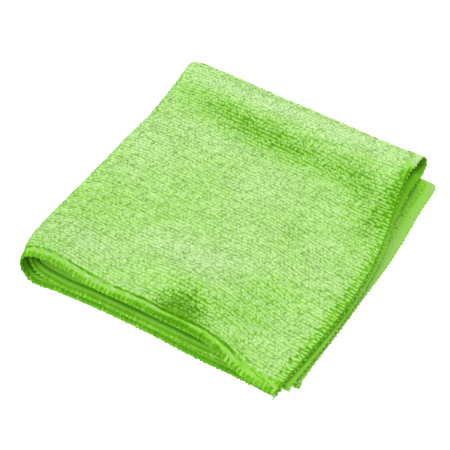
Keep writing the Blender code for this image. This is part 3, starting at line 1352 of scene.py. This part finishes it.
@dataclass(frozen=True)
class Overlock:
    """The overlock stitches round the hem: strands, edge loops and needle line."""

    fold: FoldMap
    painted_shading: PaintedShading
    pitch: float = 2.99
    first_shift: float = 0.25
    strand_width: float = 1.3
    strand_height: float = 0.42
    strand_path: Columns = table_field(
        "from_edge height",
        (4, 0.40),
        (3.1, 0.72),
        (2.2, 0.73),
        (1.2, 0.68),
        (0.3, 0.54),
        (-0.2, 0),
        (0.3, -0.60),
        (1.2, -0.76),
        (2.2, -0.80),
        (3.1, -0.74),
        (4, -0.40),
    )
    bead_size: tuple[float, float, float] = (0.8, 0.62, 0.5)
    bead_place: float = -0.25
    dash_size: tuple[float, float, float] = (0.95, 0.3, 0.26)
    dash_place: float = 6.0
    dash_height: float = 0.12
    widths: tuple[float, float] = (0.55, 1.2)
    heights: tuple[float, float] = (0.92, 1.12)
    overhangs: tuple[float, float] = (0.7, 1.4)
    spot_jitter: float = 0.24
    slant_jitter: float = 0.12
    slant_middle: float = 1.2
    tone_jitter: float = 0.06
    # strip_lift paints light on the top of the front hem's strip, side_lift on the upper halves of the side
    # stitches.
    strip_lift: float = 0.20
    strip_start: float = 0.8
    strip_reach: float = 2.0
    seam_lift: float = 0.07
    side_lift: float = 0.12
    lit_depth: float = 0.6
    lit_height: float = 0.3
    painted_shade_share: float = 0.25
    plain_height: float = 0.74
    seed: int = 7

    def model_strand(self) -> Template:
        """Models one strand round the edge as a flat cord.

        Returns:
            Its template: x along the edge, y from the edge, z the height.
        """
        curve = new_cord("strand", 0.5, 1)
        spline = curve.splines.new("POLY")
        spline.points.add(len(self.strand_path["height"]) - 1)
        for point, *place in zip(spline.points, *self.strand_path.values()):
            point.co = (0.0, *place, 1.0)
            point.radius = self.strand_height
        strand = mesh_from_cord(curve)
        for vert in strand.data.vertices:
            vert.co.x *= self.strand_width / self.strand_height
        return Template.take(strand)

    def model_blob(self, size: tuple[float, float, float], place: tuple[float, float, float]) -> Template:
        """Models one rounded stitch.

        Args:
            size: Its half sizes along the edge, from the edge and in height.
            place: Its middle.

        Returns:
            Its template.
        """
        begin_piece()
        bpy.ops.mesh.primitive_uv_sphere_add(segments=6, ring_count=4, radius=1.0)
        bpy.ops.transform.resize(value=size)
        bpy.ops.transform.translate(value=place)
        bpy.ops.object.transform_apply(location=True, rotation=True, scale=True)
        return Template.take(bpy.context.object)

    def stitches(self) -> list[Stitch]:
        """Models every kind of stitch.

        Returns:
            Two strands, the edge's bead and the needle line's dash on each face.
        """
        strand = self.model_strand()
        bead = self.model_blob(self.bead_size, (0.0, self.bead_place, 0.0))
        dash_over = self.model_blob(self.dash_size, (0.0, self.dash_place, self.dash_height))
        dash_under = self.model_blob(self.dash_size, (0.0, self.dash_place, -self.dash_height))
        return [
            Stitch(strand, shift=0.0, slant=0.16, width=1.8, lightness=0.21, side_size=0.5),
            Stitch(strand, shift=0.5, slant=-0.22, width=0.6, lightness=0.15, side_size=0.5),
            Stitch(bead, shift=0.2, slant=0.0, width=1.0, lightness=0.26, side_size=0.9),
            Stitch(dash_over, shift=0.5, slant=0.0, width=1.0, lightness=0.10, side_size=0.5),
            Stitch(dash_under, shift=0.5, slant=0.0, width=1.0, lightness=0.10, side_size=0.5),
        ]

    def build(self) -> bpy.types.Object:
        """Sews round the four sides.

        Returns:
            One object with all the stitches.
        """
        draws = np.random.default_rng(self.seed)
        stitches = self.stitches()
        copies = JoinedCopies()
        for side in HemSide:
            for stitch in stitches:
                self.add_side(copies, side, stitch, draws)
        return copies.join("overlock_thread")

    def add_side(
        self,
        copies: JoinedCopies,
        side: HemSide,
        stitch: Stitch,
        draws: np.random.Generator,
    ) -> None:
        """Adds one kind of stitch along one side of the sheet.

        Args:
            copies: The mesh that they join.
            side: The side of the sheet.
            stitch: The kind of stitch.
            draws: The random draws.
        """
        half = self.fold.half
        count = round(2 * half / self.pitch)
        shape = (count, 1)
        spots = (np.arange(count)[:, None] + stitch.shift + self.first_shift) * 2 * half / count - half
        spots = spots + draws.normal(0, self.spot_jitter, shape)
        u_way, v_way = side.value
        thin = stitch.side_size if u_way else 1.0
        fat = stitch.width * draws.uniform(*self.widths, shape) * thin
        tall = draws.uniform(*self.heights, shape) * (1 + thin) / 2
        overhang = draws.uniform(*self.overhangs, shape)
        slants = stitch.slant + draws.normal(0, self.slant_jitter, shape)
        x, depth, level = stitch.template.axes()
        depth = np.where(depth < 0, depth * thin * overhang, depth)
        along = spots + x * fat + slants * (depth - self.slant_middle)
        height = level * tall
        shown = (v_way > 0) & (along > 0) & (height > 0)
        height = np.where(shown, height, height * self.plain_height)
        u = u_way * (half - depth) if u_way else along
        v = v_way * (half - depth) if v_way else along
        points = self.fold.place(u, v, height)
        # Painted light on the top of the hem's strip and on the upper, lit halves of the side stitches.
        share = self.strip_lift * shown * np.clip((depth - self.strip_start) / self.strip_reach, 0, 1)
        share = share + stitch.lightness + self.seam_lift * (side is not HemSide.OUTER_HEM)
        if u_way:
            lit = np.clip(height * np.sign(u * v) / self.lit_height, 0, 1)
            share = share + self.side_lift * lit * (depth < self.lit_depth)
        tone = draws.normal(0, self.tone_jitter, shape)
        # Random tone and a share of the painted light and shade patches.
        tone = tone + self.painted_shade_share * self.painted_shading.tone(points, (u > 0) & (v > 0) & (height > 0))
        copies.add(stitch.template, points, share, tone, side in (HemSide.UPPER_RIGHT, HemSide.INNER_HEM))


@dataclass(frozen=True)
class ThreadTails:
    """Frayed ends of the overlock thread at the cloth's corners."""

    fold: FoldMap
    filaments: int = 14
    steps: int = 6
    thickness: float = 0.3
    lengths: tuple[float, float] = (0.6, 1.1)
    curl: float = 0.175
    droop: float = 0.5
    taper: float = 0.6
    lightness: float = 0.9
    tone_jitter: float = 0.05
    bunches: Columns = table_field(
        "u v height out_x out_y length spread",
        (177, 177, 0.2, -0.15, -1, 2.2, 0.48),
        (176.5, 177.5, -0.2, 0.5, -0.9, 2.4, 0.48),
        (177.5, -176.5, 0, 0.8, -0.6, 3.6, 0.72),
        (-177.5, -176.5, 0, 0.8, -0.6, 4, 0.72),
        (-177, 176.5, 0.2, 0.1, -1, 3.6, 0.30),
    )
    seed: int = 19

    def build(self) -> bpy.types.Object:
        """Makes each bunch of filaments as thin cords and joins them.

        Returns:
            One object with all the tails.
        """
        draws = np.random.default_rng(self.seed)
        curve = new_cord("thread_tails", self.thickness * METRES / 2, 0)
        for u, v, height, out_x, out_y, length, spread in zip(*self.bunches.values()):
            start = self.fold.place(np.array([u]), np.array([v]), np.array([height]))[0]
            for _ in range(self.filaments):
                way = np.array([out_x, out_y, 0.0]) + draws.normal(0, spread, 3)
                self.add_filament(curve, start, way, length * draws.uniform(*self.lengths), draws)
        piece = mesh_from_cord(curve)
        count = len(piece.data.vertices)
        add_values(piece.data, "root_to_tip", np.full(count, self.lightness))
        add_values(piece.data, "tone", draws.normal(0, self.tone_jitter, count))
        return piece

    def add_filament(
        self,
        curve: bpy.types.Curve,
        start: np.ndarray,
        way: np.ndarray,
        length: float,
        draws: np.random.Generator,
    ) -> None:
        """Adds one filament that droops to the ground.

        Args:
            curve: The curve that it joins.
            start: Its root, in metres.
            way: Its direction.
            length: Its length, in millimetres.
            draws: The random draws.
        """
        spline = curve.splines.new("POLY")
        spline.points.add(self.steps)
        way = way / np.linalg.norm(way)
        bend = draws.normal(0, self.curl, 3) - np.array([0.0, 0.0, self.droop])
        for number, point in enumerate(spline.points):
            share = number / self.steps
            place = start + (way * share + bend * share**2) * length * METRES
            place[2] = max(place[2], self.thickness * METRES / 2)
            point.co = (*place, 1.0)
            point.radius = 1.0 - self.taper * share


# --- The whole cloth ----------------------------------------------------------


@dataclass(frozen=True)
class MicrofibreCloth:
    """The folded cloth: ground knit, looped pile, loose fibres and sewing."""

    fold: FoldMap = field(default_factory=FoldMap)
    finishes: Finishes = field(default_factory=Finishes)
    lap: float = 12.0
    rim_band: float = 34.0
    rim_hem: float = 12.0

    def fields(self) -> list[TuftField]:
        """The fields of the pile, from the top of the cloth inwards.

        Returns:
            One field for each part of the sheet whose pile can be seen.
        """
        half = self.fold.half
        low, high, both = (-half, 0.0), (0.0, half), (-half, half)
        rim = {"rings": 3, "band": self.rim_band, "hem_front": self.rim_hem}
        # Fields inside the folds are painted darker, as shade.
        inside = {**rim, "top": 0.9, "hem_right": self.rim_hem, "darker": 0.30}
        return [
            TuftField(
                "pile_top",
                Face.OUTER,
                (-self.lap, half),
                high,
                rings=4,
                seed=11,
                hem_front=7.2,
                hem_right=1.4,
                combed=True,
                bare=9.0,
            ),
            TuftField("pile_under", Face.OUTER, (-half, -self.lap), high, rings=3, seed=12, top=1.0),
            TuftField("pile_inside_upper", Face.INNER, high, both, seed=13, **inside),
            TuftField("pile_inside_lower", Face.INNER, low, both, seed=14, **inside),
            TuftField(
                "pile_inside_loop",
                Face.OUTER,
                both,
                low,
                seed=15,
                top=0.72,
                hem_right=5.2,
                # Painted shade on the pile inside the back loop.
                darker=0.24,
                least=0.33,
                **rim,
            ),
        ]

    def build(self) -> None:
        """Builds every piece, gives it its finish and hands it to the frame."""
        CRIMPED_FIBRES.build()
        UNEVEN_NAP.build()
        pile_material = self.finishes.pile.make()
        ground_material = self.finishes.ground.make()
        thread_material = self.finishes.thread.make()
        painted_shading = PaintedShading(self.fold)
        sheet = GroundKnit(self.fold, painted_shading).build()
        self.dress(sheet, ground_material)
        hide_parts("cloth")
        for place in self.fields():
            material = ground_material if place.band == self.rim_band else pile_material
            self.dress(LoopedPile(self.fold, painted_shading).build(place), material)
        self.dress(LooseFibres(self.fold, painted_shading).build(), pile_material)
        self.dress(Overlock(self.fold, painted_shading).build(), thread_material)
        self.dress(ThreadTails(self.fold).build(), thread_material)

    def dress(self, piece: bpy.types.Object, material: bpy.types.Material) -> bpy.types.Object:
        """Gives a piece its finish and its place in the frame.

        Args:
            piece: The piece.
            material: Its finish.

        Returns:
            The piece.
        """
        piece.data.materials.clear()
        piece.data.materials.append(material)
        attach(piece, "root")
        triangles = sum(len(polygon.vertices) - 2 for polygon in piece.data.polygons)
        LOG.info("%s: %d triangles", piece.name, triangles)
        return piece


# --- Studio -------------------------------------------------------------------


@dataclass(frozen=True)
class Lamp:
    """One square lamp that faces the cloth, in metres and watts."""

    name: str
    place: tuple[float, float, float]
    size: float
    power: float

    def hang(self) -> None:
        """Hangs the lamp in its place."""
        data = bpy.data.lights.new(self.name, "AREA")
        data.energy = self.power
        data.size = self.size
        lamp = add_object(self.name, data)
        lamp.location = self.place
        lamp.rotation_euler = (-Vector(self.place)).to_track_quat("-Z", "Y").to_euler()


@dataclass(frozen=True)
class Studio:
    """A pale floor, an evenly lit room, two soft lamps and the camera."""

    azimuth: float = 34.68
    elevation: float = 53.19
    roll: float = -4.36
    distance: float = 824.0
    target: tuple[float, float, float] = (87.0, 83.1, 7.0)
    lens: float = 112.0
    sensor: float = 36.0
    nearest: float = 0.01
    floor_side: float = 6.0
    floor_level: float = -0.0002
    floor_grey: float = 0.75
    floor_roughness: float = 0.9
    room_light: float = 0.765
    lamps: tuple[Lamp, ...] = (
        Lamp("back_key", (0.10, 1.20, 0.95), size=0.5, power=15.3),
        Lamp("front_fill", (-0.30, -1.10, 0.34), size=0.7, power=11.9),
    )

    def build(self, fold: FoldMap) -> None:
        """Sets up the whole studio.

        Args:
            fold: The fold map, whose centre the target is measured from.
        """
        self.lay_floor()
        self.light_room()
        for lamp in self.lamps:
            lamp.hang()
        self.place_camera(fold)
        bpy.context.scene.view_settings.view_transform = "Standard"
        bpy.context.scene.view_settings.look = "None"

    def lay_floor(self) -> None:
        """Lays the pale floor, which the camera sees as white."""
        begin_piece()
        bpy.ops.mesh.primitive_plane_add(size=self.floor_side, location=(0, 0, self.floor_level))
        floor = bpy.context.object
        floor.name = "studio_floor"
        material = bpy.data.materials.new("pale_floor")
        material.use_nodes = True
        shader = material.node_tree.nodes["Principled BSDF"]
        shader.inputs["Base Color"].default_value = (*[self.floor_grey] * 3, 1.0)
        shader.inputs["Roughness"].default_value = self.floor_roughness
        shader.inputs["Emission Color"].default_value = (1.0, 1.0, 1.0, 1.0)
        ray = material.node_tree.nodes.new("ShaderNodeLightPath")
        material.node_tree.links.new(ray.outputs["Is Camera Ray"], shader.inputs["Emission Strength"])
        floor.data.materials.append(material)

    def light_room(self) -> None:
        """Lights the room evenly with white."""
        world = bpy.context.scene.world or bpy.data.worlds.new("studio")
        bpy.context.scene.world = world
        world.use_nodes = True
        background = world.node_tree.nodes["Background"]
        background.inputs["Color"].default_value = (1.0, 1.0, 1.0, 1.0)
        background.inputs["Strength"].default_value = self.room_light

    def place_camera(self, fold: FoldMap) -> None:
        """Places the camera at the photographed angle.

        Args:
            fold: The fold map, whose centre the target is measured from.
        """
        turn, lift, roll = (math.radians(angle) for angle in (self.azimuth, self.elevation, self.roll))
        back = Vector((math.sin(turn) * math.cos(lift), -math.cos(turn) * math.cos(lift), math.sin(lift)))
        target = Vector(self.target) - Vector((*fold.centre, 0.0))
        right = (-back).cross(Vector((0, 0, 1))).normalized()
        up = right.cross(-back)
        rolled_right = right * math.cos(roll) + up * math.sin(roll)
        rolled_up = up * math.cos(roll) - right * math.sin(roll)
        stand = Matrix((rolled_right, rolled_up, back)).transposed().to_4x4()
        stand.translation = (target + back * self.distance) * METRES
        data = bpy.data.cameras.new("photo_camera")
        data.lens = self.lens
        data.sensor_width = self.sensor
        data.clip_start = self.nearest
        camera = add_object("photo_camera", data)
        camera.matrix_world = stand
        bpy.context.scene.camera = camera


def main() -> None:
    """Builds the cloth and its studio."""
    logging.basicConfig(level=logging.INFO, format="%(name)s: %(message)s")
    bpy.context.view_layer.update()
    cloth = MicrofibreCloth()
    cloth.build()
    Studio().build(cloth.fold)
    bpy.context.view_layer.update()


if __name__ == "__main__":
    main()
